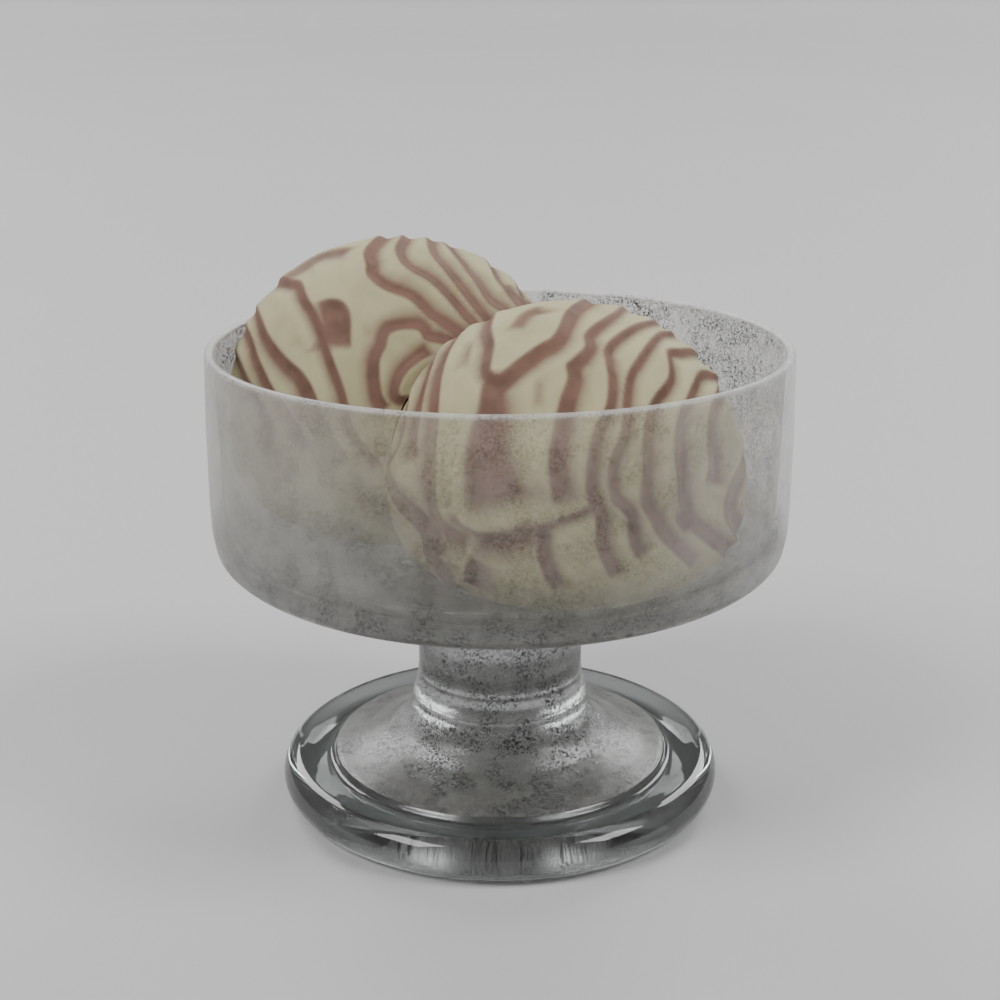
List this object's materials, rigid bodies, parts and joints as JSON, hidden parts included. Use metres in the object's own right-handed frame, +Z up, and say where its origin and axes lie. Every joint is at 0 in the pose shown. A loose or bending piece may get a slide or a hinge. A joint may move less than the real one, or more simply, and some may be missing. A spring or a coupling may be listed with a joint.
{
  "type": "ice cream sundae",
  "caption": "Scoops of cream ice cream with a cocoa ripple in a frosted footed coupe glass, ready to stand on a table.",
  "frame": {"origin": "middle of the glass's underside, on the table", "axes": "+Z up along the glass's axis; the view shown is from -Y, with +X to the right"},
  "size_m": [0.1068, 0.1068, 0.1044],
  "materials": {
    "frosted_glass": "frosted, mottled; the foot's outer ring is polished clear",
    "ripple_ice_cream": "satin cream with soft brown ripple"
  },
  "bodies": {
    "root": {"coupe_glass": "frosted_glass", "scoop_front": "ripple_ice_cream", "scoop_back": "ripple_ice_cream"}
  },
  "joints": []
}
